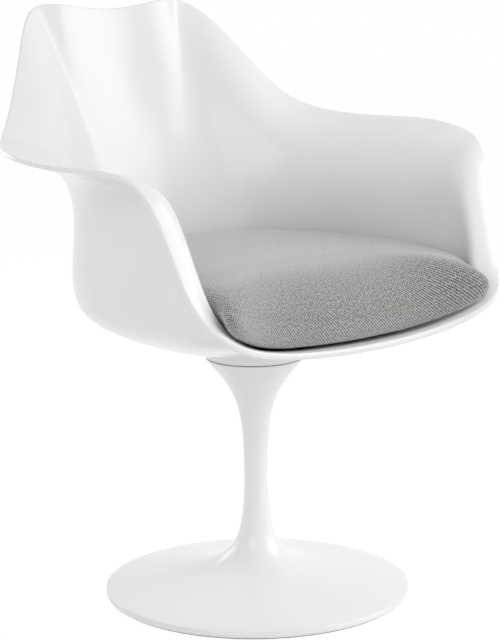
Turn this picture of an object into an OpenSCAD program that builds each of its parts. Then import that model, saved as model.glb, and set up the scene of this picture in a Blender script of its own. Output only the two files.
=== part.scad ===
/* [Seat shell] */
// Overall width across the arms
shell_w = 702; // [640:2:760]
// Overall depth from the front lip to the crown of the back
shell_d = 611; // [560:1:660]
// Height of the crown of the back above the floor
back_h = 813; // [760:1:880]
// Thickness of the moulded shell
shell_t = 6; // [4:0.5:8]
// Angle at which the seat pan falls towards the back, in degrees
pan_tilt = 5.25; // [3:0.25:7]
// Radius of the round opening in the middle of the pan
pan_hole_r = 40; // [38:0.5:42]

/* [Cushion] */
// Height of the middle of the cushion above the floor
seat_h = 490; // [470:1:500]
// Fall of the cushion's top towards the back, per unit of depth
top_fall = 0.01; // [0:0.005:0.03]
// Gap between the cushion and the shell round the edge
edge_gap = 5; // [4:0.5:8]
// How far the front border of the cushion swells
front_bulge = 14; // [8:1:18]
// Thickness of the woven cover
cover_t = 1.5; // [1:0.25:2.5]
// Thickness of each half of the hook-and-loop fastening
fastener_t = 3; // [2.5:0.25:4]
// Thickness of the zip tape
zip_tape_t = 1; // [0.6:0.1:1.4]

/* [Pedestal] */
// Height of the pedestal casting's top rim above the floor
pedestal_h = 337.5; // [320:0.5:360]
// Diameter of the round foot
foot_d = 426; // [400:2:460]
// Radius of the stem at its narrowest
stem_r = 17; // [16.5:0.5:22]
// Radius of the pedestal's top rim
top_r = 68; // [64:1:76]
// Wall thickness of the hollow foot
casting_t = 6; // [5:0.5:8]
// Height of the upper edge of the foot's rim
foot_edge_h = 10.5; // [9:0.5:14]
// Height of the casting's underside above the floor
foot_lift = 1.5; // [1:0.5:2.5]
// Width of the glide ring under the foot
glide_w = 12; // [8:1:16]
// Depth of the groove that holds the glide ring
glide_groove = 2; // [1.5:0.5:3]

/* [Swivel] */
// Visible gap between the pedestal and the hub
swivel_gap = 2; // [1.5:0.25:3]
// Height of the hub under the pan, on the swivel axis
hub_h = 9.5; // [9:0.25:12]
// Radius of the steel swivel plate
plate_r = 48; // [44:1:52]
// Thickness of the steel swivel plate
plate_t = 5; // [4:0.5:6]
// Radius of the spindle
spindle_r = 10; // [9:0.5:10.5]
// Radial running clearance of the spindle in its bushes
spindle_clear = 0.05; // [0.02:0.01:0.1]
// Wall thickness of the nylon bushes
bush_wall = 2.95; // [2.5:0.05:3.2]
// Length of each bush
bush_len = 28; // [20:1:34]
// Height of the lower bush's shoulder above the floor
lower_shoulder_h = 196; // [185:1:205]
// Outer radius of the thrust bearing
race_r = 24; // [23:0.5:27]
// Overall height of the thrust bearing
bearing_h = 11; // [10:0.5:12]
// Radius of the bearing balls
ball_r = 2.5; // [2:0.25:2.75]
// Radius of the circle that the balls run on
ball_circle_r = 17; // [16.5:0.5:18]
// Number of bearing balls
ball_n = 12; // [8:1:12]

/* [Fasteners] */
// Radius of the circle of the four clamp screws
screw_circle_r = 28; // [26:1:32]
// Radius of a clamp screw's shank
screw_r = 3; // [2.5:0.5:3.5]
// Height of a clamp screw's flat head
screw_head_h = 2.6; // [2:0.2:3]
// Radius of the clamp plate inside the shell
clamp_r = 50; // [46:1:52]
// Thickness of the clamp plate
clamp_t = 6; // [5.5:0.5:7]

/* [Hidden] */
$fn = 96;
eps = 0.01;

// ---- levels and radii that follow from the driving sizes ----
foot_r = foot_d / 2;
hub_z = pedestal_h + swivel_gap;                  // underside of the hub
pan_slope = tan(pan_tilt);
half_t = shell_t / 2 / cos(pan_tilt);             // half the shell, measured straight up
under_z = hub_z + hub_h;                          // shell's underside on the axis
pan_z = under_z + half_t;                         // middle of the shell on the axis
inner_z = pan_z + half_t;                         // pan's upper face on the axis
plate_top_z = hub_z + 2.5;
plate_z = plate_top_z - plate_t;
seat_face_z = plate_z - bearing_h;                // where the lower race sits
bush_r = spindle_r + spindle_clear + bush_wall;
lower_bore_r = bush_r + 1;
ball_z = seat_face_z + bearing_h / 2;
groove_r = ball_r + 0.05;
race_gap = 3.4;                                   // between the two races
race_t = (bearing_h - race_gap) / 2;
cage_t = race_gap - 0.6;
flange_t = 2;                                     // lower bush's flange
washer_t = 2;
washer_clear = 0.2;
washer_z = lower_shoulder_h - flange_t - washer_clear - washer_t;
fastener_gap = 0.3;
base_gap = 2 * fastener_t + fastener_gap;         // cushion's underside above the pan
glide_out = foot_r - 4.5;
glide_in = glide_out - glide_w;
glide_top = foot_lift + glide_groove;
spot_face = 2.6;                                  // clamp plate left under a screw head

// ---- seat shell: table of offsets ----
// One row for each station, from the middle of the back round one side to the middle of
// the front. Plan angle; rim x, y and height; how far the rolled edge stands out from its
// root and above it; then radius and height of the waist, the belly and the edge of the
// pan; last the plan direction in which the edge rolls out. Heights are above the pan, at
// the drawn size below.
offsets = [
  [ 90,   0,  370, 441,   20, 70,  270, 232,  250, 88,  205,  6,  90],
  [ 80,  88,  344, 459,   20, 70,  270, 232,  250, 88,  205,  6,  80],
  [ 70, 117,  370, 459,   30, 68,  266, 230,  250, 82,  202,  6,  70],
  [ 63, 152,  343, 444,   38, 58,  262, 222,  250, 72,  198,  6,  63],
  [ 56, 187,  301, 388,   54, 50,  250, 202,  256, 64,  193,  8,  56],
  [ 48, 227,  258, 324,   66, 38,  244, 188,  262, 56,  186, 11,  48],
  [ 38, 259,  222, 296,   78, 30,  236, 182,  262, 52,  176, 16,  38],
  [ 24, 305,  161, 284,   92, 26,  236, 188,  264, 57,  167, 20,  24],
  [  8, 354,   45, 288,   96, 26,  236, 200,  264, 65,  163, 20,   6],
  [ -8, 345,  -34, 279,   74, 22,  240, 212,  268, 73,  170, 22,  -2],
  [-22, 290, -134, 279,   46,  8,  258, 220,  290, 80,  186, 26,   0],
  [-33, 271, -169, 239,   40, -3,  284, 210,  310, 80,  202, 28,   0],
  [-42, 252, -213, 104,   30, -4,  308, 104,  288, 64,  204, 32,   0],
  [-50, 230, -255,  77,   44,  5,  286,  62,  248, 46,  182, 28, -42],
  [-58, 157, -229,  39,   42,  4,  214,  33,  187, 24,  150, 18, -58],
  [-90,   0, -231,  29,   52, -2,  176,  26,  160, 20,  136, 16, -90]];
drawn_w = 702;
drawn_d = 611;
drawn_rise = 461;                                 // crown of the back above the pan
kx = shell_w / drawn_w;
ky = shell_d / drawn_d;
kz = (back_h - pan_z) / drawn_rise;
last = len(offsets) - 1;
around = 2 * last;                                // stations in the full loop
spans = 6;                                        // from the pan's hole to the rim
per_station = 3;
per_span = 4;
flat_rows = 3;                                    // rows that lie on the flat of the pan
flat_ring_r = 90;

// ---- cubic curves ----
function blend(t) = [pow(1 - t, 3), 3 * pow(t, 3) - 6 * t * t + 4,
                     -3 * pow(t, 3) + 3 * t * t + 3 * t + 1, pow(t, 3)] / 6;
function clamped(p) = let (n = len(p)) concat([2 * p[0] - p[1]], p, [2 * p[n - 1] - p[n - 2]]);
function mix4(b, p, s) = b[0] * p[s] + b[1] * p[s + 1] + b[2] * p[s + 2] + b[3] * p[s + 3];
function open_curve(p, steps) = let (q = clamped(p), n = len(p) - 1)
  concat([for (s = [0 : n - 1], k = [0 : steps - 1]) mix4(blend(k / steps), q, s)], [p[n]]);

// ---- the shell's middle surface: u runs round the stations, v from the pan to the rim ----
function pan_height(y) = pan_z - pan_slope * y;
function pan_point(a, r) = [r * cos(a), r * sin(a), pan_height(r * sin(a))];
function wall_point(a, r, h) = [kx * r * cos(a), ky * r * sin(a), pan_z + kz * h];
function section(s) = let (a = s[0]) clamped([
  pan_point(a, pan_hole_r), pan_point(a, flat_ring_r), wall_point(a, s[10], s[11]),
  wall_point(a, s[8], s[9]), wall_point(a, s[6], s[7]),
  [kx * (s[1] - s[4] * cos(s[12])), ky * (s[2] - s[4] * sin(s[12])), pan_z + kz * (s[3] - s[5])],
  [kx * s[1], ky * s[2], pan_z + kz * s[3]]]);
function flip(p) = [for (q = p) [-q[0], q[1], q[2]]];
half_sections = [for (s = offsets) section(s)];
sections = [for (i = [0 : around - 1])
  i <= last ? half_sections[i] : flip(half_sections[around - i])];
function on_section(k, v) = let (s = min(floor(v), spans - 1))
  mix4(blend(v - s), sections[(k + around) % around], s);
function mid_surface(u, v) = let (w = (u + around) % around, s = floor(w), b = blend(w - s))
  b[0] * on_section(s - 1, v) + b[1] * on_section(s, v)
  + b[2] * on_section(s + 1, v) + b[3] * on_section(s + 2, v);
function unit(v) = v / norm(v);
// Direction from the shell's middle surface into the seat
function inward(u, v) = let (d = 0.02, v0 = max(0, v - d), v1 = min(spans, v + d))
  unit(cross(mid_surface(u + d, v) - mid_surface(u - d, v),
             mid_surface(u, v1) - mid_surface(u, v0)));
pan_up = [0, sin(pan_tilt), cos(pan_tilt)];
function flat_point(p) = [p[0], p[1], pan_height(p[1])];
function hole_point(p) = let (q = pan_hole_r * unit([p[0], p[1]])) [q[0], q[1], pan_height(q[1])];

// ---- closed skins ----
// Faces of a band of rings, each a closed loop of n points
function band(n, rings, closed) = [for (j = [0 : rings - (closed ? 1 : 2)], i = [0 : n - 1])
  let (a = j * n + i, b = j * n + (i + 1) % n,
       c = ((j + 1) % rings) * n + i, d = ((j + 1) % rings) * n + (i + 1) % n)
  each [[a, b, d], [a, d, c]]];
function flat_list(rings) = [for (r = rings, p = r) p];
function turned(faces) = [for (f = faces) [f[2], f[1], f[0]]];

module seat_shell() {
  n = around * per_station;
  m = spans * per_span;
  u = [for (i = [0 : n - 1]) i / per_station];
  mid = [for (j = [0 : m]) [for (i = [0 : n - 1]) let (p = mid_surface(u[i], j / per_span))
    j == 0 ? hole_point(p) : j <= flat_rows ? flat_point(p) : p]];
  up = [for (j = [0 : m]) [for (i = [0 : n - 1])
    j <= flat_rows ? pan_up : inward(u[i], j / per_span)]];
  out = [for (i = [0 : n - 1]) unit(mid[m][i] - mid[m - 1][i])];
  // The rim is rounded over: its points turn from the inner face to the outer one
  lip = [for (turn = [45, 90, 135]) [for (i = [0 : n - 1])
    mid[m][i] + shell_t / 2 * (cos(turn) * up[m][i] + sin(turn) * out[i])]];
  inner = [for (j = [0 : m]) mid[j] + shell_t / 2 * up[j]];
  outer = [for (j = [m : -1 : 0]) mid[j] - shell_t / 2 * up[j]];
  rings = concat(inner, lip, outer);
  color("white") polyhedron(flat_list(rings), turned(band(n, len(rings), true)), convexity = 10);
}

// ---- cushion: its underside follows the shell, its top is a shallow dome ----
// For each station of the table above: where the cushion's seam runs, as a value of v, and
// the border's swell there as a share of front_bulge
cushion_edge = [
  [2.85, 0], [2.87, 0], [2.93, 0], [2.98, 0], [3.05, 0], [3.12, 0], [3.15, 0], [3.1, 0],
  [3.1, 0], [3.15, 0], [3.2, 0.2], [2.9, 0.3], [3.8, 0], [6.1, 1.6], [5.3, 0.8], [5.6, 1]];
flat_v = flat_rows / per_span;
cushion_n = 90;                                   // columns round the cushion
under_rows = 11;
dome = [1, 0.995, 0.98, 0.95, 0.9, 0.82, 0.68, 0.45, 0.2];
function edge_row(k) = let (i = (k + around) % around)
  i <= last ? cushion_edge[i] : cushion_edge[around - i];
function edge_at(u) = let (s = floor(u), b = blend(u - s))
  b[0] * edge_row(s - 1) + b[1] * edge_row(s) + b[2] * edge_row(s + 1) + b[3] * edge_row(s + 2);
columns = [for (i = [0 : cushion_n - 1]) let (u = i * around / cushion_n)
  [u, edge_at(u)[0], front_bulge * edge_at(u)[1]]];
// A point under the cushion; f runs from 0 at the flat of the pan to 1 at the seam, and
// inset is how deep the point lies below the cushion's outer face
function under_point(u, vs, f, inset) = let (v = flat_v + f * (vs - flat_v))
  mid_surface(u, v) + (shell_t / 2 + base_gap + f * (edge_gap - base_gap) + inset) * inward(u, v);
function flat_under(u, inset) = let (p = flat_point(mid_surface(u, flat_v)))
  p + (shell_t / 2 + base_gap + inset) * pan_up;
function top_level(y, inset) = seat_h - inset - top_fall * y;
function dome_point(b, swell, k, inset) =
  let (h = pow(1 - pow(k, 9), 0.42), s = k + swell * 4 * h * (1 - h) / norm([b[0], b[1]]))
  [s * b[0], s * b[1], b[2] + h * (top_level(s * b[1], inset) - b[2])];
function under_ring(j, inset) = [for (s = columns)
  j == 0 ? flat_under(s[0], inset) : under_point(s[0], s[1], j / under_rows, inset)];
function under_rings(inset) = [for (j = [0 : under_rows]) under_ring(j, inset)];
function dome_rings(inset) = let (seam = under_ring(under_rows, inset))
  [for (k = dome) [for (i = [0 : cushion_n - 1]) dome_point(seam[i], columns[i][2], k, inset)]];
function under_mid(inset) = [0, 0, pan_z] + (shell_t / 2 + base_gap + inset) * pan_up;
function top_mid(inset) = [0, 0, top_level(0, inset)];

// Fans that close a ring onto one point; the last argument turns them over
function fan(first, n, tip, over) = [for (i = [0 : n - 1])
  let (a = first + i, b = first + (i + 1) % n) over ? [b, a, tip] : [a, b, tip]];

module cushion_foam() {
  rings = concat(under_rings(cover_t), [for (j = [1 : len(dome) - 1]) dome_rings(cover_t)[j]]);
  n = cushion_n;
  total = len(rings) * n;
  points = concat(flat_list(rings), [under_mid(cover_t), top_mid(cover_t)]);
  faces = concat(band(n, len(rings), false), fan(0, n, total, true),
                 fan(total - n, n, total + 1, false));
  color("lightyellow") polyhedron(points, faces, convexity = 4);
}

// A cloth skin: outer rings, the same ones one cover's thickness inside, and the two
// points that close them, over the first ring or over the last
module skin(outer, inner, tips, tip_first) {
  n = cushion_n;
  size = len(outer) * n;
  function side(tip) = concat(band(n, len(outer), false),
    tip_first ? fan(0, n, tip, true) : fan(size - n, n, tip, false));
  in_faces = [for (f = turned(side(size + 1))) f + [size, size, size]];
  first = tip_first ? size - n : 0;
  edge = [for (i = [0 : n - 1]) let (a = first + i, b = first + (i + 1) % n)
    each [[b, a, a + size], [b, a + size, b + size]]];
  points = concat(flat_list(outer), flat_list(inner), tips);
  faces = concat(side(2 * size), in_faces, tip_first ? turned(edge) : edge);
  polyhedron(points, faces, convexity = 4);
}

module cushion_cover() {
  color("darkgray") skin(dome_rings(0), dome_rings(cover_t), [top_mid(0), top_mid(cover_t)], false);
}

module cushion_base_cloth() {
  color("dimgray") skin(under_rings(0), under_rings(cover_t),
                        [under_mid(0), under_mid(cover_t)], true);
}

// ---- zip along the back of the cushion's underside ----
zip_columns = 10;                                 // to each side of the middle
zip_row = 8;
function zip_point(i, row, lift) = let (u = i * around / cushion_n)
  under_point(u, edge_at((u + around) % around)[0], row / under_rows, -lift);
module zip_tape() {
  r = zip_row;
  k = 2 * zip_columns + 1;
  points = [for (i = [-zip_columns : zip_columns]) each [zip_point(i, r, 0),
    zip_point(i, r + 1, 0), zip_point(i, r + 1, zip_tape_t), zip_point(i, r, zip_tape_t)]];
  sides = [for (j = [0 : k - 2], i = [0 : 3]) let (a = 4 * j + i, b = 4 * j + (i + 1) % 4)
    each [[a, b, b + 4], [a, b + 4, a + 4]]];
  ends = [[0, 2, 1], [0, 3, 2],
          [4 * k - 4, 4 * k - 3, 4 * k - 2], [4 * k - 4, 4 * k - 2, 4 * k - 1]];
  color("gray") polyhedron(points, concat(sides, ends));
}

module zip_slider() {
  slider = [9, 7, 2];
  i = zip_columns - 1;
  corner = zip_point(i, zip_row, zip_tape_t);
  along = unit(zip_point(i + 1, zip_row, zip_tape_t) - corner);
  out = unit(cross(zip_point(i, zip_row + 1, zip_tape_t) - corner, along));
  across = cross(out, along);
  at = (corner + zip_point(i + 1, zip_row + 1, zip_tape_t)) / 2;
  place = [[along[0], across[0], out[0], at[0]], [along[1], across[1], out[1], at[1]],
           [along[2], across[2], out[2], at[2]], [0, 0, 0, 1]];
  color("silver") multmatrix(place) translate([-slider[0] / 2, -slider[1] / 2, 0]) cube(slider);
}

// ---- pieces that lie on the flat of the pan ----
// Turns its children from level to the slope of the pan, h above the pan's upper face
module on_pan(h) {
  translate([0, 0, inner_z]) rotate([-pan_tilt, 0, 0]) translate([0, 0, h]) children();
}
module below_slope(z) {
  size = 4 * top_r;
  translate([0, 0, z]) rotate([-pan_tilt, 0, 0]) translate([-size / 2, -size / 2, -size])
    cube(size);
}
module ring(r_in, r_out, h) {
  rotate_extrude() translate([r_in, 0]) square([r_out - r_in, h]);
}
fastener_in = clamp_r + 4;
fastener_out = 73;
module hook_ring() color("dimgray") on_pan(0) ring(fastener_in, fastener_out, fastener_t);
module loop_ring() {
  color("gray") on_pan(fastener_t + fastener_gap) ring(fastener_in, fastener_out, fastener_t);
}

// ---- hub, clamp plate and screws ----
function screw_xy(i) = screw_circle_r * [cos(90 * i + 45), sin(90 * i + 45)];
function screw_seat(i) = inner_z - pan_slope * screw_xy(i)[1] + spot_face;
module screw_holes(r) {
  for (i = [0 : 3]) translate(concat(screw_xy(i), [hub_z - plate_t - 1])) cylinder(h = 60, r = r);
}
hub_flare = 10;
hub_flare_h = 8;
module seat_hub() {
  profile = concat([[0, 0], [top_r, 0]],
    [for (a = [0 : 15 : 90]) [top_r + hub_flare * (1 - cos(a)), hub_flare_h * sin(a)]],
    [[top_r + hub_flare + 1.5, 26], [0, 26]]);
  color("white") difference() {
    union() {
      intersection() {
        translate([0, 0, hub_z]) rotate_extrude() polygon(profile);
        below_slope(under_z);
      }
      intersection() {
        translate([0, 0, hub_z + 3]) cylinder(h = 40, r = pan_hole_r - 0.8);
        below_slope(inner_z);
      }
    }
    translate([0, 0, hub_z - 1]) cylinder(h = plate_top_z - hub_z + 1, r = plate_r + 0.6);
    screw_holes(screw_r + 0.3);
  }
}

module clamp_plate() {
  color("silver") difference() {
    on_pan(0) cylinder(h = clamp_t, r = clamp_r);
    screw_holes(screw_r + 0.3);
    for (i = [0 : 3]) translate(concat(screw_xy(i), [screw_seat(i)])) cylinder(h = 20, r = 6.2);
  }
}

module clamp_screw(i) {
  bottom = plate_z + 0.5;
  color("gray") translate(concat(screw_xy(i), [0])) difference() {
    union() {
      translate([0, 0, bottom]) cylinder(h = screw_seat(i) - bottom + eps, r = screw_r);
      translate([0, 0, screw_seat(i)]) cylinder(h = screw_head_h, r = 5.5);
    }
    translate([0, 0, screw_seat(i) + screw_head_h - 1.6]) cylinder(h = 3, r = 2.2, $fn = 6);
  }
}

// ---- swivel plate, spindle and what holds it down ----
module swivel_plate() {
  color("silver") difference() {
    translate([0, 0, plate_z]) cylinder(h = plate_t, r = plate_r);
    translate([0, 0, plate_z - 1]) cylinder(h = plate_t + 2, r = spindle_r);
    screw_holes(screw_r);
  }
}
retaining_r = 4;
retaining_depth = 16;
module spindle() {
  end_z = washer_z + washer_t;
  color("silver") difference() {
    translate([0, 0, end_z]) cylinder(h = plate_top_z - end_z, r = spindle_r);
    translate([0, 0, end_z - 1]) cylinder(h = retaining_depth + 3, r = retaining_r);
  }
}
module retaining_washer() {
  color("silver") translate([0, 0, washer_z]) difference() {
    cylinder(h = washer_t, r = bush_r + 0.5);
    translate([0, 0, -1]) cylinder(h = washer_t + 2, r = retaining_r + 0.2);
  }
}
module retaining_screw() {
  head_h = 8;
  color("gray") translate([0, 0, washer_z]) difference() {
    union() {
      translate([0, 0, -head_h]) cylinder(h = head_h, r = 6.5);
      translate([0, 0, -eps]) cylinder(h = washer_t + retaining_depth, r = retaining_r);
    }
    translate([0, 0, -head_h - 1]) cylinder(h = 5, r = 3.4, $fn = 6);
  }
}

// ---- thrust bearing ----
module ball_track() {
  translate([0, 0, ball_z]) rotate_extrude() translate([ball_circle_r, 0]) circle(r = groove_r);
}
module thrust_race_lower() {
  color("silver") difference() {
    translate([0, 0, seat_face_z]) ring(spindle_r + 0.5, race_r, race_t);
    ball_track();
  }
}
module thrust_race_upper() {
  color("silver") difference() {
    translate([0, 0, plate_z - race_t]) ring(spindle_r, race_r - 0.5, race_t);
    ball_track();
  }
}
function ball_xy(i) = ball_circle_r * [cos(360 * i / ball_n), sin(360 * i / ball_n)];
module ball_cage() {
  color("ivory") difference() {
    translate([0, 0, ball_z - cage_t / 2]) ring(spindle_r + 1, race_r - 1, cage_t);
    for (i = [0 : ball_n - 1]) translate(concat(ball_xy(i), [ball_z - cage_t]))
      cylinder(h = 2 * cage_t, r = ball_r + 0.1, $fn = 48);
  }
}
module ball(i) {
  if (i < ball_n) color("silver") translate(concat(ball_xy(i), [ball_z])) sphere(r = ball_r);
}

// ---- bushes in the stem ----
module upper_bush() {
  color("ivory") translate([0, 0, seat_face_z - bush_len])
    ring(spindle_r + spindle_clear, bush_r, bush_len);
}
module lower_bush() {
  color("ivory") translate([0, 0, lower_shoulder_h]) {
    ring(spindle_r + spindle_clear, bush_r, bush_len);
    translate([0, 0, -flange_t]) ring(spindle_r + spindle_clear, lower_bore_r - 0.2, flange_t + eps);
  }
}

// ---- pedestal ----
cup_r = race_r + 0.5;
cup_top_z = plate_z - 2;
plug_z = 130;
plug_t = 8;
outer_curve = open_curve([
  [top_r, pedestal_h - 0.8], [top_r - 6, pedestal_h - 9], [stem_r + 25, pedestal_h - 32],
  [stem_r + 8, pedestal_h - 62], [stem_r + 1, pedestal_h - 105],
  [stem_r - 0.5, pedestal_h - 150], [stem_r, pedestal_h - 200],
  [stem_r + 4, 98], [stem_r + 14, 68], [stem_r + 37, 45], [foot_r - 108, 30],
  [foot_r - 48, 20], [foot_r - 8, foot_edge_h + 2.5], [foot_r, foot_edge_h]], 5);
// The hollow's ceiling lies one wall thickness inside the outer curve
dish_r = glide_in - 6;
ceiling = [for (i = [len(outer_curve) - 2 : -1 : 1])
  let (along = unit(outer_curve[i + 1] - outer_curve[i - 1]),
       q = outer_curve[i] + casting_t * [along[1], -along[0]])
  if (q[0] > lower_bore_r + 0.5 && q[0] < dish_r - 1 && q[1] < pedestal_h / 2) q];
module pedestal_casting() {
  edge_round = 3;
  rim = [for (a = [0 : 15 : 90]) [foot_r - edge_round + edge_round * cos(a),
                                  foot_lift + edge_round - edge_round * sin(a)]];
  profile = concat([[top_r - 0.8, pedestal_h]], outer_curve, rim,
    [[glide_out, foot_lift], [glide_out, glide_top], [glide_in, glide_top],
     [glide_in, foot_lift], [dish_r, foot_lift], [dish_r, ceiling[0][1] - 0.5]], ceiling,
    [[lower_bore_r, ceiling[len(ceiling) - 1][1] + 6], [lower_bore_r, lower_shoulder_h],
     [bush_r, lower_shoulder_h], [bush_r, seat_face_z], [cup_r, seat_face_z],
     [cup_r, cup_top_z], [top_r - 8, cup_top_z], [top_r - 8, pedestal_h]]);
  color("white") rotate_extrude($fn = 180) polygon(profile);
}
module glide_ring() {
  color("dimgray") ring(glide_in, glide_out, glide_top);
}
module bore_plug() {
  color("ivory") translate([0, 0, plug_z]) cylinder(h = plug_t, r = lower_bore_r);
}

pedestal_casting();
glide_ring();
bore_plug();
upper_bush();
lower_bush();
thrust_race_lower();
ball_cage();
ball(0);  // ball_1
ball(1);  // ball_2
ball(2);  // ball_3
ball(3);  // ball_4
ball(4);  // ball_5
ball(5);  // ball_6
ball(6);  // ball_7
ball(7);  // ball_8
ball(8);  // ball_9
ball(9);  // ball_10
ball(10);  // ball_11
ball(11);  // ball_12
thrust_race_upper();
spindle();
swivel_plate();
retaining_washer();
retaining_screw();
seat_hub();
seat_shell();
clamp_plate();
clamp_screw(0);  // clamp_screw_1
clamp_screw(1);  // clamp_screw_2
clamp_screw(2);  // clamp_screw_3
clamp_screw(3);  // clamp_screw_4
hook_ring();
loop_ring();
cushion_foam();
cushion_cover();
cushion_base_cloth();
zip_tape();
zip_slider();
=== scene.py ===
"""Pedestal swivel armchair: the looks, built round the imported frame. Lengths are in metres."""
import math

import bmesh
import bpy
import numpy as np
from mathutils import Matrix, Vector
from mathutils.bvhtree import BVHTree


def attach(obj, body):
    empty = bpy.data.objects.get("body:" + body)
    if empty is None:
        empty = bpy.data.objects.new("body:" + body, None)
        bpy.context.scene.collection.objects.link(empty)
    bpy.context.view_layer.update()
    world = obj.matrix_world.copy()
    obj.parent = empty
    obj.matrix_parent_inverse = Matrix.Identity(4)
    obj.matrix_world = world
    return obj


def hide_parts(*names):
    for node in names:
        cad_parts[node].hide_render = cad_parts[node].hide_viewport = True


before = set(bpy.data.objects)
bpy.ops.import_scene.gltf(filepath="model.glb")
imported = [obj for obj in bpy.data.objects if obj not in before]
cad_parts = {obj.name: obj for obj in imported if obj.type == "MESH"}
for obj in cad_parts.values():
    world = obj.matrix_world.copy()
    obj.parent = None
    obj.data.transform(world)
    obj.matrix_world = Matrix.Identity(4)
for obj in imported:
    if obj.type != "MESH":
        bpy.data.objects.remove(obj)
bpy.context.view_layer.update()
SCENE = bpy.context.scene
MM = 0.001


# ---------------------------------------------------------------- camera, stage and light

def make_camera():
    azimuth, distance, height = math.radians(35.7), 2.977, 0.987
    yaw, pitch, roll = math.radians(-0.13), math.radians(11.35), math.radians(-0.65)
    inward = Vector((math.sin(azimuth), math.cos(azimuth), 0))
    side = Vector((math.cos(azimuth), -math.sin(azimuth), 0))
    level = inward * math.cos(yaw) + side * math.sin(yaw)
    right = level.cross(Vector((0, 0, 1))).normalized()
    look = level * math.cos(pitch) - Vector((0, 0, 1)) * math.sin(pitch)
    up = right.cross(look)
    x = right * math.cos(roll) + up * math.sin(roll)
    y = up * math.cos(roll) - right * math.sin(roll)
    data = bpy.data.cameras.new("camera")
    data.lens = 123.5
    data.sensor_width = 36.0
    cam = bpy.data.objects.new("camera", data)
    SCENE.collection.objects.link(cam)
    cam.matrix_world = Matrix((
        (x.x, y.x, -look.x, -inward.x * distance),
        (x.y, y.y, -look.y, -inward.y * distance),
        (x.z, y.z, -look.z, height),
        (0, 0, 0, 1)))
    SCENE.camera = cam


def seen_ray(n, l):
    """1 for a ray that shows the surroundings: straight, mirrored or through glass."""
    path = n.new("ShaderNodeLightPath")
    first = n.new("ShaderNodeMath")
    second = n.new("ShaderNodeMath")
    first.operation = second.operation = "MAXIMUM"
    l.new(path.outputs["Is Camera Ray"], first.inputs[0])
    l.new(path.outputs["Is Glossy Ray"], first.inputs[1])
    l.new(first.outputs[0], second.inputs[0])
    l.new(path.outputs["Is Transmission Ray"], second.inputs[1])
    return second.outputs[0]


FLOOR_HALF = 6.0


def make_floor():
    mesh = bpy.data.meshes.new("floor")
    s = FLOOR_HALF
    mesh.from_pydata([(-s, -s, 0), (s, -s, 0), (s, s, 0), (-s, s, 0)], [], [(0, 1, 2, 3)])
    floor = bpy.data.objects.new("floor", mesh)
    SCENE.collection.objects.link(floor)
    mat = bpy.data.materials.new("floor_white")
    mat.use_nodes = True
    n, l = mat.node_tree.nodes, mat.node_tree.links
    n.clear()
    out = n.new("ShaderNodeOutputMaterial")
    seen = seen_ray(n, l)
    diffuse = n.new("ShaderNodeBsdfDiffuse")
    diffuse.inputs["Color"].default_value = (0.86, 0.86, 0.86, 1)
    faint = n.new("ShaderNodeBsdfDiffuse")
    faint.inputs["Color"].default_value = (0.2, 0.2, 0.2, 1)
    glow = n.new("ShaderNodeEmission")
    glow.inputs["Strength"].default_value = 0.87
    add = n.new("ShaderNodeAddShader")
    l.new(faint.outputs[0], add.inputs[0])
    l.new(glow.outputs[0], add.inputs[1])
    mix = n.new("ShaderNodeMixShader")
    l.new(seen, mix.inputs[0])
    l.new(diffuse.outputs[0], mix.inputs[1])
    l.new(add.outputs[0], mix.inputs[2])
    l.new(mix.outputs[0], out.inputs["Surface"])
    mesh.materials.append(mat)


def make_world():
    world = bpy.data.worlds.new("studio")
    SCENE.world = world
    world.use_nodes = True
    n, l = world.node_tree.nodes, world.node_tree.links
    n.clear()
    out = n.new("ShaderNodeOutputWorld")
    ambient = n.new("ShaderNodeBackground")
    ambient.inputs["Color"].default_value = (1, 1, 1, 1)
    ambient.inputs["Strength"].default_value = 0.58
    white = n.new("ShaderNodeBackground")
    white.inputs["Color"].default_value = (1, 1, 1, 1)
    white.inputs["Strength"].default_value = 1.0
    mix = n.new("ShaderNodeMixShader")
    l.new(seen_ray(n, l), mix.inputs[0])
    l.new(ambient.outputs[0], mix.inputs[1])
    l.new(white.outputs[0], mix.inputs[2])
    l.new(mix.outputs[0], out.inputs["Surface"])


def area_light(name, place, target, size, power):
    data = bpy.data.lights.new(name, "AREA")
    data.shape = "RECTANGLE"
    data.size, data.size_y = size
    data.energy = power
    lamp = bpy.data.objects.new(name, data)
    SCENE.collection.objects.link(lamp)
    lamp.location = place
    aim = Vector(target) - Vector(place)
    lamp.rotation_euler = aim.to_track_quat("-Z", "Y").to_euler()


make_camera()
make_floor()
make_world()
SCENE.view_settings.view_transform = "Standard"
area_light("front", (2.2, -2.0, 1.9), (0, 0, 0.5), (2.8, 2.0), 38)
area_light("left", (-2.4, -1.5, 1.9), (0, 0, 0.5), (1.8, 1.8), 13)
area_light("side", (2.3, -1.0, 0.7), (0, 0, 0.35), (1.2, 1.2), 4)
area_light("rear", (-0.4, 2.3, 0.9), (0, 0, 0), (1.6, 0.8), 6)


# ---------------------------------------------------------------- materials

def new_material(name):
    mat = bpy.data.materials.new(name)
    mat.use_nodes = True
    n = mat.node_tree.nodes
    return mat, n, mat.node_tree.links, n["Principled BSDF"]


def noise(n, l, coords, scale, detail=2.0):
    tex = n.new("ShaderNodeTexNoise")
    tex.inputs["Scale"].default_value = scale
    tex.inputs["Detail"].default_value = detail
    l.new(coords, tex.inputs["Vector"])
    return tex.outputs["Fac"]


def ramp(n, l, fac, low, high):
    """fac from 0.3 to 0.7 runs from one value to the other."""
    node = n.new("ShaderNodeMapRange")
    node.inputs["From Min"].default_value = 0.3
    node.inputs["From Max"].default_value = 0.7
    node.inputs["To Min"].default_value = low
    node.inputs["To Max"].default_value = high
    l.new(fac, node.inputs["Value"])
    return node.outputs["Result"]


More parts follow.
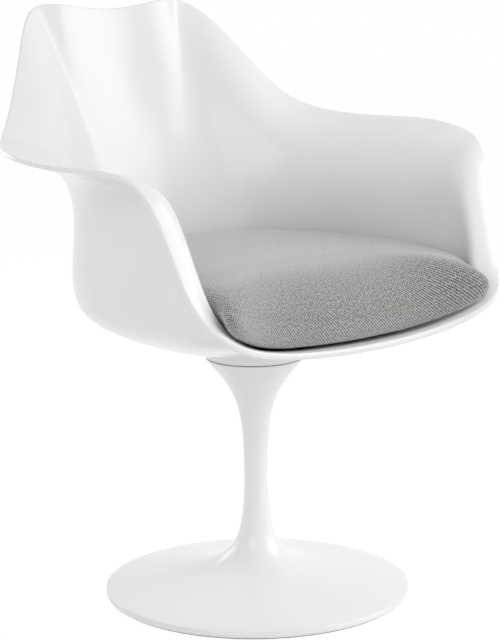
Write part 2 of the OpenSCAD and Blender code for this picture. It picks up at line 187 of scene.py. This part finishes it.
def mix_colour(n, l, fac, a, b):
    node = n.new("ShaderNodeMix")
    node.data_type = "RGBA"
    node.inputs["A"].default_value = (*a, 1)
    node.inputs["B"].default_value = (*b, 1)
    l.new(fac, node.inputs["Factor"])
    return node.outputs["Result"]


def bump(n, l, height, strength, distance):
    node = n.new("ShaderNodeBump")
    node.inputs["Strength"].default_value = strength
    node.inputs["Distance"].default_value = distance
    l.new(height, node.inputs["Height"])
    return node.outputs["Normal"]


def gloss_white(name, colour, shade, rough, orange_peel):
    """White gloss surface: a trace of orange peel, faint tone drift, roughness that varies."""
    mat, n, l, bsdf = new_material(name)
    coords = n.new("ShaderNodeTexCoord").outputs["Object"]
    drift = noise(n, l, coords, 5.0, 3.0)
    l.new(mix_colour(n, l, drift, colour, shade), bsdf.inputs["Base Color"])
    l.new(ramp(n, l, noise(n, l, coords, 22.0, 4.0), rough - 0.03, rough + 0.04),
          bsdf.inputs["Roughness"])
    bsdf.inputs["IOR"].default_value = 1.52
    peel = noise(n, l, coords, 260.0, 1.0)
    l.new(bump(n, l, peel, orange_peel, 0.0004), bsdf.inputs["Normal"])
    return mat


SHELL_WHITE = gloss_white("shell_gloss_white", (0.94, 0.94, 0.938), (0.925, 0.925, 0.925),
                          0.18, 0.02)
BASE_WHITE = gloss_white("pedestal_coat_white", (0.95, 0.95, 0.95), (0.935, 0.935, 0.935),
                         0.14, 0.04)


# ---------------------------------------------------------------- mesh helpers

def make_object(name, points, faces, body, material):
    mesh = bpy.data.meshes.new(name)
    mesh.from_pydata([tuple(map(float, p)) for p in points], [], faces)
    mesh.materials.append(material)
    mesh.polygons.foreach_set("use_smooth", [True] * len(mesh.polygons))
    mesh.update()
    obj = bpy.data.objects.new(name, mesh)
    SCENE.collection.objects.link(obj)
    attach(obj, body)
    return obj


def band_faces(rows, n, closed=False):
    """Quads between rings of n points each."""
    faces = []
    for j in range(rows if closed else rows - 1):
        a, b = j * n, ((j + 1) % rows) * n
        for i in range(n):
            k = (i + 1) % n
            faces.append((a + i, b + i, b + k, a + k))
    return faces


def blend(t):
    t = np.asarray(t, float)
    return np.stack([(1 - t) ** 3, 3 * t ** 3 - 6 * t * t + 4,
                     -3 * t ** 3 + 3 * t * t + 3 * t + 1, t ** 3], -1) / 6


def open_curve(points, steps):
    """Clamped cubic curve through listed controls, as in the part's source."""
    p = np.array(points, float)
    q = np.vstack([2 * p[0] - p[1], p, 2 * p[-1] - p[-2]])
    out = []
    for s in range(len(p) - 1):
        for k in range(steps):
            out.append(blend(k / steps) @ q[s:s + 4])
    out.append(p[-1])
    return np.array(out)


# ---------------------------------------------------------------- seat shell

# One row for each station from the middle of the back round one side to the middle of the
# front: plan angle; rim x, y, height; rolled edge's reach and rise; then radius and height
# of waist, belly and pan edge; plan direction of the roll. Millimetres, heights above the pan.
OFFSETS = np.array([
    [90, 0, 370, 441, 20, 70, 270, 232, 250, 88, 205, 6, 90],
    [80, 88, 344, 459, 20, 70, 270, 232, 250, 88, 205, 6, 80],
    [70, 117, 370, 459, 30, 68, 266, 230, 250, 82, 202, 6, 70],
    [63, 152, 343, 444, 38, 58, 262, 222, 250, 72, 198, 6, 63],
    [56, 187, 301, 388, 54, 50, 250, 202, 256, 64, 193, 8, 56],
    [48, 227, 258, 324, 66, 38, 244, 188, 262, 56, 186, 11, 48],
    [38, 259, 222, 296, 78, 30, 236, 182, 262, 52, 176, 16, 38],
    [24, 305, 161, 284, 92, 26, 236, 188, 264, 57, 167, 20, 24],
    [8, 354, 45, 288, 96, 26, 236, 200, 264, 65, 163, 20, 6],
    [-8, 345, -34, 279, 74, 22, 240, 212, 268, 73, 170, 22, -2],
    [-22, 290, -134, 279, 46, 8, 258, 220, 290, 80, 186, 26, 0],
    [-33, 271, -169, 239, 40, -3, 284, 210, 310, 80, 202, 28, 0],
    [-42, 252, -213, 104, 30, -4, 308, 104, 288, 64, 204, 32, 0],
    [-50, 230, -255, 77, 44, 5, 286, 62, 248, 46, 182, 28, -42],
    [-58, 157, -229, 39, 42, 4, 214, 33, 187, 24, 150, 18, -58],
    [-90, 0, -231, 29, 52, -2, 176, 26, 160, 20, 136, 16, -90]], float)
TILT = math.radians(5.25)
SLOPE = math.tan(TILT)
HUB_Z = 339.5
UNDER_Z = HUB_Z + 9.5
HALF_T = 3.0
PAN_Z = UNDER_Z + HALF_T / math.cos(TILT)
RISE = (813 - PAN_Z) / 461
HOLE_R, FLAT_R, FLAT_V, SPANS = 40.0, 90.0, 0.75, 6


def shell_sections():
    half = []
    for a, rx, ry, rz, out, drop, r3, h3, r2, h2, r1, h1, b in OFFSETS:
        c, s = math.cos(math.radians(a)), math.sin(math.radians(a))
        e, f = math.cos(math.radians(b)), math.sin(math.radians(b))
        rows = [[r * c, r * s, PAN_Z - SLOPE * r * s] for r in (HOLE_R, FLAT_R)]
        rows += [[r * c, r * s, PAN_Z + RISE * h] for r, h in ((r1, h1), (r2, h2), (r3, h3))]
        rows.append([rx - out * e, ry - out * f, PAN_Z + RISE * (rz - drop)])
        rows.append([rx, ry, PAN_Z + RISE * rz])
        p = np.array(rows)
        half.append(np.vstack([2 * p[0] - p[1], p, 2 * p[-1] - p[-2]]))
    last = len(half) - 1
    other = [half[2 * last - i] * np.array([-1, 1, 1]) for i in range(last + 1, 2 * last)]
    return np.array(half + other)


SECTIONS = shell_sections()
AROUND = len(SECTIONS)


def surface(u, v):
    """Middle of the shell; u counts stations from the back, v runs from the pan to the rim."""
    u, v = np.broadcast_arrays(np.asarray(u, float) % AROUND, np.asarray(v, float))
    su, sv = np.floor(u).astype(int), np.minimum(np.floor(v), SPANS - 1).astype(int)
    bu, bv = blend(u - su), blend(v - sv)
    p = np.zeros(u.shape + (3,))
    for i in range(4):
        for j in range(4):
            p += (bu[..., i] * bv[..., j])[..., None] * SECTIONS[(su + i - 1) % AROUND, sv + j]
    flat = np.clip((v - FLAT_V) / (1 - FLAT_V), 0, 1)
    pan = PAN_Z - SLOPE * p[..., 1]
    p[..., 2] = pan + (p[..., 2] - pan) * flat
    return p


def inward(u, v):
    """Unit direction from the shell's middle into the seat."""
    d = 0.02
    v0, v1 = np.maximum(np.asarray(v) - d, 0), np.minimum(np.asarray(v) + d, SPANS)
    n = np.cross(surface(np.asarray(u) + d, v) - surface(np.asarray(u) - d, v),
                 surface(u, v1) - surface(u, v0))
    n /= np.linalg.norm(n, axis=-1, keepdims=True)
    up = np.array([0, math.sin(TILT), math.cos(TILT)])
    flat = (np.asarray(v) <= FLAT_V)[..., None]
    return np.where(flat, up, n)


def smooth_step(t):
    t = np.clip(t, 0, 1)
    return t * t * (3 - 2 * t)


LIP_BEAD = 3.0            # how much the front lip thickens into the seat, millimetres


def make_shell():
    per_station, per_span = 10, 12
    n, m = AROUND * per_station, SPANS * per_span
    u = np.arange(n) / per_station
    v = np.arange(m + 1) / per_span
    vv, uu = np.meshgrid(v, u, indexing="ij")
    mid, nor = surface(uu, vv), inward(uu, vv)
    bead = LIP_BEAD * smooth_step((vv - 5.1) / 0.7) * smooth_step(
        (6.5 - np.abs(uu - AROUND / 2)) / 2.5)
    inner = mid + (HALF_T + bead)[..., None] * nor
    outer = (mid - HALF_T * nor)[::-1]
    out = mid[-1] - mid[-2]
    out /= np.linalg.norm(out, axis=-1, keepdims=True)
    turns = np.radians(np.arange(15, 180, 15))
    half = bead[-1][:, None] / 2
    centre, across = mid[-1] + half * nor[-1], (HALF_T + half) * nor[-1]
    lip = [centre + math.cos(t) * across + HALF_T * math.sin(t) * out for t in turns]
    rings = list(inner) + lip + list(outer)
    points = np.concatenate(rings) * MM
    shell = make_object("shell_moulding", points, band_faces(len(rings), n, True), "seat",
                        SHELL_WHITE)
    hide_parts("seat_shell")


make_shell()


# ---------------------------------------------------------------- pedestal and hub

def revolve(name, profile, body, material, segments=256):
    """Turns a profile of (r, z) in millimetres round the swivel axis."""
    a = np.arange(segments) * 2 * math.pi / segments
    rings = [np.stack([r * np.cos(a), r * np.sin(a), np.full(segments, z)], -1)
             for r, z in profile]
    points = np.concatenate(rings) * MM
    return make_object(name, points, band_faces(len(rings), segments, True), body, material)


FOOT_R, TOP_R, TOP_Z, STEM_R, EDGE_Z, LIFT = 213.0, 68.0, 337.5, 17.0, 10.5, 1.5


def make_pedestal():
    outer = open_curve([
        [TOP_R, TOP_Z - 0.8], [TOP_R - 6, TOP_Z - 9], [STEM_R + 25, TOP_Z - 32],
        [STEM_R + 8, TOP_Z - 62], [STEM_R + 1, TOP_Z - 105], [STEM_R - 0.5, TOP_Z - 150],
        [STEM_R, TOP_Z - 200], [STEM_R + 4, 98], [STEM_R + 14, 68], [STEM_R + 37, 45],
        [FOOT_R - 108, 30], [FOOT_R - 48, 20], [FOOT_R - 8, EDGE_Z + 2.5],
        [FOOT_R, EDGE_Z]], 10)
    rim_r = 3.0
    rim = [[FOOT_R - rim_r + rim_r * math.cos(a), LIFT + rim_r - rim_r * math.sin(a)]
           for a in np.radians(np.arange(0, 91, 10))]
    glide_out = FOOT_R - 4.5
    glide_in = glide_out - 12
    dish = glide_in - 6
    wall, bore = 6.0, 14.0
    ceiling = []
    for i in range(len(outer) - 2, 0, -1):
        along = outer[i + 1] - outer[i - 1]
        along /= np.linalg.norm(along)
        q = outer[i] + wall * np.array([along[1], -along[0]])
        if bore + 0.5 < q[0] < dish - 1 and q[1] < TOP_Z / 2:
            ceiling.append(list(q))
    seat_z = 326.0
    bush = 13.0
    profile = [[TOP_R - 0.8, TOP_Z]] + outer.tolist() + rim + [
        [glide_out, LIFT], [glide_out, 3.5], [glide_in, 3.5], [glide_in, LIFT], [dish, LIFT],
        [dish, ceiling[0][1] - 0.5]] + ceiling + [
        [bore, ceiling[-1][1] + 6], [bore, 196], [bush, 196], [bush, seat_z], [24.5, seat_z],
        [24.5, 335], [TOP_R - 8, 335], [TOP_R - 8, TOP_Z]]
    pedestal = revolve("pedestal_trumpet", profile, "pedestal", BASE_WHITE)
    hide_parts("pedestal_casting")


def make_hub():
    n = 192
    a = np.arange(n) * 2 * math.pi / n
    c, s = np.cos(a), np.sin(a)
    rings = []

    def level_ring(r, z):
        rings.append(np.stack([r * c, r * s, np.full(n, z)], -1))

    level_ring(48.6, HUB_Z + 2.5)
    level_ring(48.6, HUB_Z)
    level_ring(TOP_R - 3.0, HUB_Z)
    level_ring(TOP_R - 2.0, HUB_Z - 0.9)
    level_ring(TOP_R - 0.6, HUB_Z - 0.7)
    flare, rise = 10.0, 8.0
    top = UNDER_Z - SLOPE * (TOP_R + flare) * s + 0.4
    steps = 24
    for k in range(steps + 1):
        z = HUB_Z + 0.6 + (top - HUB_Z - 0.6) * k / steps
        t = np.clip((z - HUB_Z) / rise, 0, 1)
        r = TOP_R + flare * (1 - np.sqrt(1 - t * t)) + np.maximum(z - HUB_Z - rise, 0) * 0.08
        rings.append(np.stack([r * c, r * s, z], -1))
    rings.append(np.stack([48.6 * c, 48.6 * s, UNDER_Z - SLOPE * 48.6 * s], -1))
    points = np.concatenate(rings) * MM
    hub = make_object("hub_flare", points, band_faces(len(rings), n, True), "seat",
                      SHELL_WHITE)
    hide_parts("seat_hub")


make_pedestal()
make_hub()


# ---------------------------------------------------------------- cushion

# For each station: where the cushion's seam runs, as a value of v, and the border's swell
CUSHION_EDGE = np.array([
    [2.85, 0], [2.87, 0], [2.93, 0], [2.98, 0], [3.05, 0], [3.12, 0], [3.15, 0], [3.1, 0],
    [3.1, 0], [3.15, 0], [3.2, 0.2], [2.9, 0.3], [3.8, 0], [6.1, 1.6], [5.3, 0.8], [5.6, 1]])
FRONT_BULGE, SEAT_H, TOP_FALL = 14.0, 490.0, 0.01
BASE_GAP, EDGE_GAP = 6.3, 5.0
FRONT_DROP = 27.0         # how far the top has sunk at the middle of its front edge, millimetres
WEAVE = 0.0042            # pitch of the weave, metres
CLOTH_LIGHT = ((0.46, 0.472, 0.452), (0.55, 0.564, 0.54))
CLOTH_DARK = ((0.02, 0.021, 0.02), (0.035, 0.036, 0.034))
SWELL_CAP = 0.0055        # furthest that the swelling moves a point before that, metres
SKIN_OFFSET = 0.0003      # how far outside the CAD form the points inside it are laid, metres
REMESH_SIZE = 0.005       # size of the faces that the cloth is simulated on, metres
SIM_FRAMES = 20


def edge_at(u):
    full = np.vstack([CUSHION_EDGE, CUSHION_EDGE[-2:0:-1]])
    s = np.floor(u).astype(int)
    b = blend(u - s)
    return sum(b[..., i, None] * full[(s + i - 1) % AROUND] for i in range(4))


def cloth_material():
    mat, n, l, bsdf = new_material("cushion_weave")

    def attribute(name, output):
        node = n.new("ShaderNodeAttribute")
        node.attribute_name = name
        return node.outputs[output]

    def math_node(op, a, b=None):
        node = n.new("ShaderNodeMath")
        node.operation = op
        for k, value in enumerate((a, b)):
            if value is None:
                continue
            if isinstance(value, (int, float)):
                node.inputs[k].default_value = value
            else:
                l.new(value, node.inputs[k])
        return node.outputs[0]

    coords = attribute("cloth", "Vector")
    seam = attribute("seam", "Fac")
    sep = n.new("ShaderNodeSeparateXYZ")
    l.new(coords, sep.inputs[0])
    # Yarns waver a little, so the weave isn't a perfect grid
    waver = math_node("MULTIPLY", noise(n, l, coords, 60.0, 2.0), 0.9)
    around = math_node("ADD", math_node("MULTIPLY", sep.outputs[0], 2 * math.pi / WEAVE), waver)
    along = math_node("ADD", math_node("MULTIPLY", sep.outputs[1], 2 * math.pi / WEAVE), waver)
    knot = math_node("MULTIPLY", math_node("COSINE", around), math_node("COSINE", along))
    twill = math_node("COSINE", math_node("ADD", around, along))
    height = math_node("ADD", math_node("ADD", math_node("MULTIPLY", knot, 0.34),
                                        math_node("MULTIPLY", twill, 0.16)), 0.5)
    fleck = ramp(n, l, noise(n, l, coords, 330.0, 2.0), 0.0, 1.0)
    mottle = noise(n, l, coords, 26.0, 3.0)
    tone = math_node("ADD", math_node("MULTIPLY", height, 0.62),
                     math_node("MULTIPLY", fleck, 0.38))
    light = mix_colour(n, l, mottle, CLOTH_LIGHT[0], CLOTH_LIGHT[1])
    dark = mix_colour(n, l, mottle, CLOTH_DARK[0], CLOTH_DARK[1])
    mix = n.new("ShaderNodeMix")
    mix.data_type = "RGBA"
    l.new(ramp(n, l, tone, 0.0, 1.0), mix.inputs["Factor"])
    l.new(dark, mix.inputs["A"])
    l.new(light, mix.inputs["B"])
    # The sewn line between the top and the border: painted shade along its crease, a thin dark line
    seam_shade = n.new("ShaderNodeMapRange")
    seam_shade.inputs["From Min"].default_value = 0.0
    seam_shade.inputs["From Max"].default_value = 0.0022
    seam_shade.inputs["To Min"].default_value = 0.2
    seam_shade.inputs["To Max"].default_value = 0.0
    l.new(math_node("ABSOLUTE", seam), seam_shade.inputs["Value"])
    seam_shaded = n.new("ShaderNodeMix")
    seam_shaded.data_type = "RGBA"
    # Colour of the painted shade in the seam's crease
    seam_shaded.inputs["B"].default_value = (0.12, 0.125, 0.118, 1)
    l.new(seam_shade.outputs["Result"], seam_shaded.inputs["Factor"])
    l.new(mix.outputs["Result"], seam_shaded.inputs["A"])
    l.new(seam_shaded.outputs["Result"], bsdf.inputs["Base Color"])
    l.new(ramp(n, l, mottle, 0.82, 0.95), bsdf.inputs["Roughness"])
    bsdf.inputs["Specular IOR Level"].default_value = 0.15
    bsdf.inputs["Sheen Weight"].default_value = 1.0
    bsdf.inputs["Sheen Roughness"].default_value = 0.62
    l.new(bump(n, l, height, 0.7, 0.0008), bsdf.inputs["Normal"])
    return mat


def cushion_rings(n, inset):
    """Rings of the cushion from the middle of its underside to the middle of its top."""
    u = np.arange(n) * AROUND / n
    edge = edge_at(u)
    seam_v, swell = edge[:, 0], FRONT_BULGE * edge[:, 1]
    rings = []
    under = 26
    for j in range(under + 1):
        f = j / under
        v = FLAT_V + f * (seam_v - FLAT_V)
        gap = HALF_T + BASE_GAP + f * (EDGE_GAP - BASE_GAP) + inset
        rings.append(surface(u, v) + gap * inward(u, v))
    seam = rings[-1]
    radius = np.hypot(seam[:, 0], seam[:, 1])
    front = smooth_step(1 - np.abs(u - AROUND / 2) / 4.2)
    for k in np.concatenate([np.linspace(0.9995, 0.98, 8), np.linspace(0.975, 0.8, 14),
                             np.linspace(0.78, 0.06, 24)]):
        h = (1 - k ** (9 + 3 * front)) ** 0.42
        s = k + swell * 4 * h * (1 - h) / radius
        x, y = s * seam[:, 0], s * seam[:, 1]
        top = SEAT_H - inset - TOP_FALL * y - FRONT_DROP * front * k ** 6
        z = seam[:, 2] + h * (top - seam[:, 2])
        rings.append(np.stack([x, y, z], -1))
    return rings, under


def cloth_coordinates(rings, under):
    """Cloth coordinates: plan position, plus the cloth's own length over the border."""
    seam = rings[under]
    tangent = np.roll(seam, -1, 0) - np.roll(seam, 1, 0)
    outward = np.stack([tangent[:, 1], -tangent[:, 0]], -1)
    outward /= np.linalg.norm(outward, axis=-1, keepdims=True)
    outward *= np.sign((outward * seam[:, :2]).sum(-1, keepdims=True))
    for _ in range(60):
        outward = np.roll(outward, 1, 0) + outward + np.roll(outward, -1, 0)
        outward /= np.linalg.norm(outward, axis=-1, keepdims=True)
    cloth = [None] * len(rings)
    cloth[-1] = rings[-1][:, :2]
    for j in range(len(rings) - 2, -1, -1):
        step = np.linalg.norm(rings[j] - rings[j + 1], axis=-1, keepdims=True)
        plan = rings[j][:, :2] - rings[j + 1][:, :2]
        moved = (plan * outward).sum(-1, keepdims=True)
        side = plan - moved * outward
        reach = np.sqrt(np.maximum(step ** 2 - (side ** 2).sum(-1, keepdims=True), 0))
        cloth[j] = cloth[j + 1] + side + reach * outward
    return cloth


def closed_skin(rings):
    """Points and faces of the rings, closed below and above by a point each."""
    n = len(rings[0])
    low = np.array([[0, 0, PAN_Z]]) + (HALF_T + BASE_GAP) * np.array(
        [[0, math.sin(TILT), math.cos(TILT)]])
    high = np.array([[0, 0, rings[-1][:, 2].mean()]])
    points = np.concatenate(rings + [low, high])
    faces = [f[::-1] for f in band_faces(len(rings), n)]
    total = len(rings) * n
    faces += [((i + 1) % n, i, total) for i in range(n)]
    faces += [(total - n + i, total - n + (i + 1) % n, total + 1) for i in range(n)]
    return points, faces


def seam_height(u):
    """Height of the sewn line round the border, from the cushion's edge to its top, 0 to 1."""
    return 0.56 - 0.20 * smooth_step(1 - np.abs(u - AROUND / 2) / 2.2)


def evened(mesh, move, rounds=40):
    """Spreads each point's move over its neighbours, so that the swelling has no ridges."""
    ends = np.empty(len(mesh.edges) * 2, int)
    mesh.edges.foreach_get("vertices", ends)
    a, b = ends.reshape(-1, 2).T
    count = len(mesh.vertices)
    degree = np.bincount(a, minlength=count) + np.bincount(b, minlength=count)
    for _ in range(rounds):
        total = np.stack([np.bincount(a, move[b, k], count) + np.bincount(b, move[a, k], count)
                          for k in range(3)], -1)
        move = 0.4 * move + 0.6 * total / degree[:, None]
    return move


def swell_cloth(start, faces, limit):
    """Blows the cushion up as cloth, then lays most of it on the limit form.

    The limit's faces look inward. So points inside it are moved to SKIN_OFFSET outside it, and
    points that already stand out further than that stay where they are.
    """
    mesh = bpy.data.meshes.new("cushion_start")
    mesh.from_pydata([tuple(p) for p in start * MM], [], faces)
    pad = bpy.data.objects.new("cushion_pillow", mesh)
    SCENE.collection.objects.link(pad)
    bpy.context.view_layer.objects.active = pad
    pad.select_set(True)
    remesh = pad.modifiers.new("remesh", "REMESH")
    remesh.mode = "VOXEL"
    remesh.voxel_size = REMESH_SIZE
    remesh.use_smooth_shade = True
    bpy.ops.object.modifier_apply(modifier="remesh")
    count = len(pad.data.vertices)
    before = np.empty(count * 3)
    pad.data.vertices.foreach_get("co", before)
    before = before.reshape(-1, 3)
    normals = np.empty(count * 3)
    pad.data.vertices.foreach_get("normal", normals)
    resting = normals.reshape(-1, 3)[:, 2] < -0.25
    group = pad.vertex_groups.new(name="resting")
    group.add([int(i) for i in np.flatnonzero(resting)], 1.0, "REPLACE")
    cloth = pad.modifiers.new("cloth", "CLOTH")
    cloth.settings.quality = 5
    cloth.settings.mass = 0.3
    cloth.settings.tension_stiffness = 30
    cloth.settings.compression_stiffness = 30
    cloth.settings.shear_stiffness = 12
    cloth.settings.bending_stiffness = 2
    cloth.settings.vertex_group_mass = "resting"
    cloth.settings.use_pressure = True
    cloth.settings.uniform_pressure_force = 4.0
    cloth.settings.effector_weights.gravity = 0
    for step in range(1, SIM_FRAMES + 1):
        SCENE.frame_set(step)
    bpy.ops.object.modifier_apply(modifier="cloth")
    SCENE.frame_set(1)
    pad.vertex_groups.clear()
    after = np.empty(count * 3)
    pad.data.vertices.foreach_get("co", after)
    after = after.reshape(-1, 3)
    move = after - before
    far = np.linalg.norm(move, axis=1, keepdims=True)
    move *= np.minimum(1, SWELL_CAP / np.maximum(far, 1e-9))
    after = before + evened(pad.data, move)
    tree = BVHTree.FromPolygons([Vector(p) for p in limit * MM], faces)
    for i, p in enumerate(after):
        near, normal, _, _ = tree.find_nearest(Vector(p))
        out = (Vector(p) - near).dot(normal)
        if out > -SKIN_OFFSET:
            after[i] = near - normal * SKIN_OFFSET
    pad.data.vertices.foreach_set("co", after.ravel())
    pad.data.update()
    return pad


def make_cushion():
    n = 240
    start = cushion_rings(n, 3.5)[0]
    rings, under = cushion_rings(n, 0.0)
    points, faces = closed_skin(rings)
    pad = swell_cloth(closed_skin(start)[0], faces, points)
    # Cloth coordinates and the distance to the sewn line, carried over from the ring skin
    cloth = cloth_coordinates(rings, under)
    u = np.arange(n) * AROUND / n
    line = rings[under][:, 2] + seam_height(u) * (rings[-1][:, 2] - rings[under][:, 2])
    flat = np.concatenate(cloth + [np.zeros((1, 2)), np.zeros((1, 2))]) * MM
    depth = np.concatenate([r[:, 2] - line for r in rings] + [[-90.0], [90.0]]) * MM
    depth[:n * (under + 1)] = -0.09
    data = np.column_stack([flat, depth])
    tris = [t for f in faces for t in ([f] if len(f) == 3 else [(f[0], f[1], f[2]),
                                                                 (f[0], f[2], f[3])])]
    skin = points * MM
    tree = BVHTree.FromPolygons([Vector(p) for p in skin], tris)
    tris = np.array(tris)
    values = np.zeros((len(pad.data.vertices), 3))
    for i, vert in enumerate(pad.data.vertices):
        near, _, index, _ = tree.find_nearest(vert.co)
        a, b, c = skin[tris[index]]
        area = np.linalg.norm(np.cross(b - a, c - a)) + 1e-15
        p = np.array(near)
        w = np.array([np.linalg.norm(np.cross(b - p, c - p)),
                      np.linalg.norm(np.cross(c - p, a - p)),
                      np.linalg.norm(np.cross(a - p, b - p))]) / area
        values[i] = w @ data[tris[index]] / w.sum()
    layer = pad.data.attributes.new("cloth", "FLOAT_VECTOR", "POINT")
    layer.data.foreach_set("vector", np.column_stack([values[:, :2], values[:, 0] * 0]).ravel())
    layer = pad.data.attributes.new("seam", "FLOAT", "POINT")
    layer.data.foreach_set("value", values[:, 2].copy())
    smooth = pad.modifiers.new("smooth", "SUBSURF")
    smooth.levels = smooth.render_levels = 1
    bpy.context.view_layer.objects.active = pad
    bpy.ops.object.modifier_apply(modifier="smooth")
    # The sewn line draws in a little
    count = len(pad.data.vertices)
    co, nor, seam = np.empty(count * 3), np.empty(count * 3), np.empty(count)
    pad.data.vertices.foreach_get("co", co)
    pad.data.vertices.foreach_get("normal", nor)
    pad.data.attributes["seam"].data.foreach_get("value", seam)
    pull = 0.0007 * np.exp(-(seam / 0.0032) ** 2)
    co = co.reshape(-1, 3) - pull[:, None] * nor.reshape(-1, 3)
    pad.data.vertices.foreach_set("co", co.ravel())
    pad.data.polygons.foreach_set("use_smooth", [True] * len(pad.data.polygons))
    pad.data.materials.clear()
    pad.data.materials.append(cloth_material())
    pad.data.update()
    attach(pad, "cushion")
    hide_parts("cushion_cover", "cushion_foam", "cushion_base_cloth")


make_cushion()


# ---------------------------------------------------------------- parts kept from the CAD model

def plain_finish(name, colour, shade, rough, metallic=0.0, grain=120.0, depth=0.0001):
    """Metal, plastic or rubber: drifting tone, uneven gloss and a fine surface grain."""
    mat, n, l, bsdf = new_material(name)
    coords = n.new("ShaderNodeTexCoord").outputs["Object"]
    l.new(mix_colour(n, l, noise(n, l, coords, grain * 0.3, 3.0), colour, shade),
          bsdf.inputs["Base Color"])
    l.new(ramp(n, l, noise(n, l, coords, grain, 4.0), rough - 0.06, rough + 0.08),
          bsdf.inputs["Roughness"])
    bsdf.inputs["Metallic"].default_value = metallic
    l.new(bump(n, l, noise(n, l, coords, grain * 6, 2.0), 0.3, depth), bsdf.inputs["Normal"])
    return mat


def tape_finish(name, colour, shade, pitch, depth):
    """Woven tape with rows of hooks, loops or zip teeth standing up from it, and painted shade in
    the pits between them.
    """
    mat, n, l, bsdf = new_material(name)
    coords = n.new("ShaderNodeTexCoord").outputs["Object"]
    cells = n.new("ShaderNodeTexVoronoi")
    cells.inputs["Scale"].default_value = 1.0 / pitch
    l.new(coords, cells.inputs["Vector"])
    # Painted shade: the colour darkens to the shade colour in the pits of the bump pattern
    l.new(mix_colour(n, l, cells.outputs["Distance"], shade, colour), bsdf.inputs["Base Color"])
    l.new(ramp(n, l, noise(n, l, coords, 200.0, 3.0), 0.75, 0.95), bsdf.inputs["Roughness"])
    bsdf.inputs["Specular IOR Level"].default_value = 0.25
    l.new(bump(n, l, cells.outputs["Distance"], 0.6, depth), bsdf.inputs["Normal"])
    return mat


def dress(material, *names):
    for name in names:
        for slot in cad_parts[name].material_slots:
            slot.material = material


BALLS = [f"ball_{i}" for i in range(1, 13)]
SCREWS = [f"clamp_screw_{i}" for i in range(1, 5)]
dress(plain_finish("glide_rubber", (0.035, 0.035, 0.036), (0.05, 0.05, 0.05), 0.62), "glide_ring")
dress(plain_finish("black_nylon", (0.03, 0.03, 0.032), (0.045, 0.045, 0.045), 0.45), "bore_plug")
dress(plain_finish("natural_nylon", (0.74, 0.72, 0.66), (0.68, 0.66, 0.6), 0.42),
      "upper_bush", "lower_bush", "ball_cage")
dress(plain_finish("ground_steel", (0.58, 0.58, 0.59), (0.5, 0.5, 0.51), 0.24, 1.0, 90.0,
                   0.00004),
      "thrust_race_lower", "thrust_race_upper")
dress(plain_finish("ball_steel", (0.66, 0.66, 0.67), (0.6, 0.6, 0.61), 0.12, 1.0, 200.0, 0.00001),
      *BALLS)
dress(plain_finish("turned_steel", (0.6, 0.6, 0.61), (0.52, 0.52, 0.53), 0.28, 1.0, 160.0, 0.00005),
      "spindle")
dress(plain_finish("zinc_plate", (0.62, 0.62, 0.6), (0.5, 0.5, 0.5), 0.38, 1.0, 60.0, 0.00008),
      "swivel_plate", "clamp_plate", "retaining_washer", "retaining_screw", "zip_slider", *SCREWS)
dress(tape_finish("hook_tape", (0.05, 0.05, 0.052), (0.02, 0.02, 0.02), 0.0016, 0.0006),
      "hook_ring")
dress(tape_finish("loop_tape", (0.09, 0.09, 0.092), (0.05, 0.05, 0.05), 0.0010, 0.0004),
      "loop_ring")
dress(tape_finish("zip_tape", (0.34, 0.35, 0.335), (0.2, 0.205, 0.2), 0.0014, 0.0003), "zip_tape")
